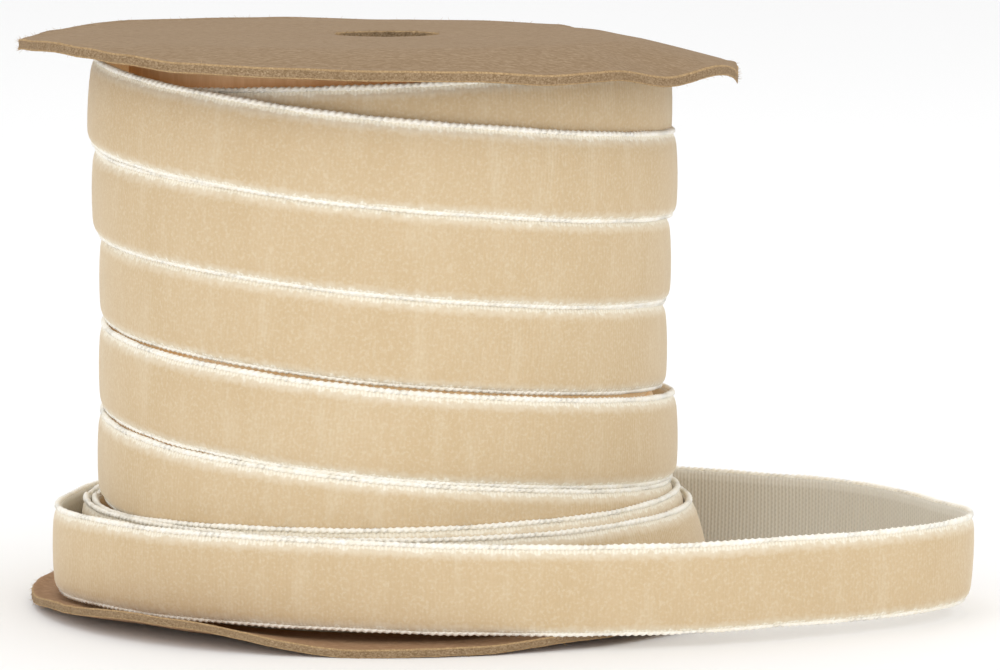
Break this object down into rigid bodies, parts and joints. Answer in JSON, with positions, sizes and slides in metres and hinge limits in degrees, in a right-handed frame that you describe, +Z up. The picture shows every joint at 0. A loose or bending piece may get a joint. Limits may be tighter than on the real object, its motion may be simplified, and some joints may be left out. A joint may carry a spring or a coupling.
{
  "type": "ribbon spool",
  "caption": "Kraft-board spool wound with narrow velvet ribbon, with its last turns loose and the free end out in a wide loop.",
  "frame": {"origin": "on the spool's axis, at the underside of the lower disc", "axes": "+Z up along the spool's axis, -Y towards the front, +X to the right, where the loose loop runs out"},
  "size_m": [0.115, 0.0872, 0.0689],
  "materials": {
    "kraft_board": "matt, fibrous, fuzzy cut edge",
    "core_paper": "matt, brown kraft paper",
    "glue": "dried white glue",
    "paper_tape": "smooth, slightly glossy",
    "velvet_ribbon": "cream velvet pile with off-white woven selvedges and a plain ribbed back"
  },
  "bodies": {
    "root": {"bottom_flange": "kraft_board", "top_flange": "kraft_board", "core_tube": "core_paper", "bottom_glue_ring": "glue", "top_glue_ring": "glue", "start_tape": "paper_tape", "ribbon_inner_winding": "velvet_ribbon", "ribbon_outer_layer": "velvet_ribbon", "ribbon_loose_turns": "velvet_ribbon", "ribbon_tail": "velvet_ribbon"}
  },
  "joints": []
}
